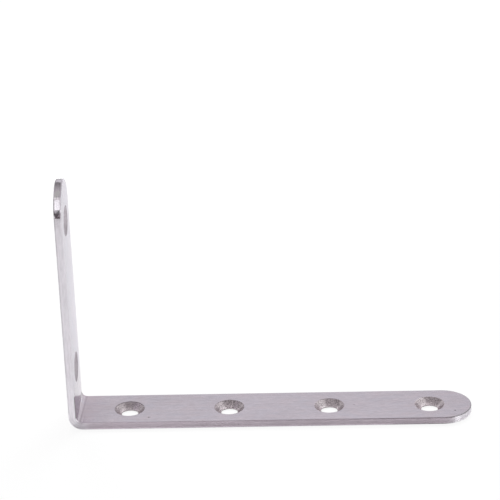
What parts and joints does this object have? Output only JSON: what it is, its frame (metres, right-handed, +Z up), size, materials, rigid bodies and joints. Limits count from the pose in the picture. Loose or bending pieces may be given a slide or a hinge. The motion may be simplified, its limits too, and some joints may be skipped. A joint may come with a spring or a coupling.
{
  "type": "l-shaped corner brace",
  "caption": "Flat steel strip with round ends, folded square into a long and a short leg, with countersunk screw holes along both legs, for stiffening a corner joint.",
  "frame": {"origin": "middle of the long leg's underside: the centre of the brace's bounding box, at its base", "axes": "+X along the long leg towards its round end, +Y across the strip's width, +Z up along the short leg"},
  "size_m": [0.125, 0.018, 0.08],
  "materials": {
    "steel": "brushed"
  },
  "bodies": {
    "root": {"corner_brace": "steel"}
  },
  "joints": []
}
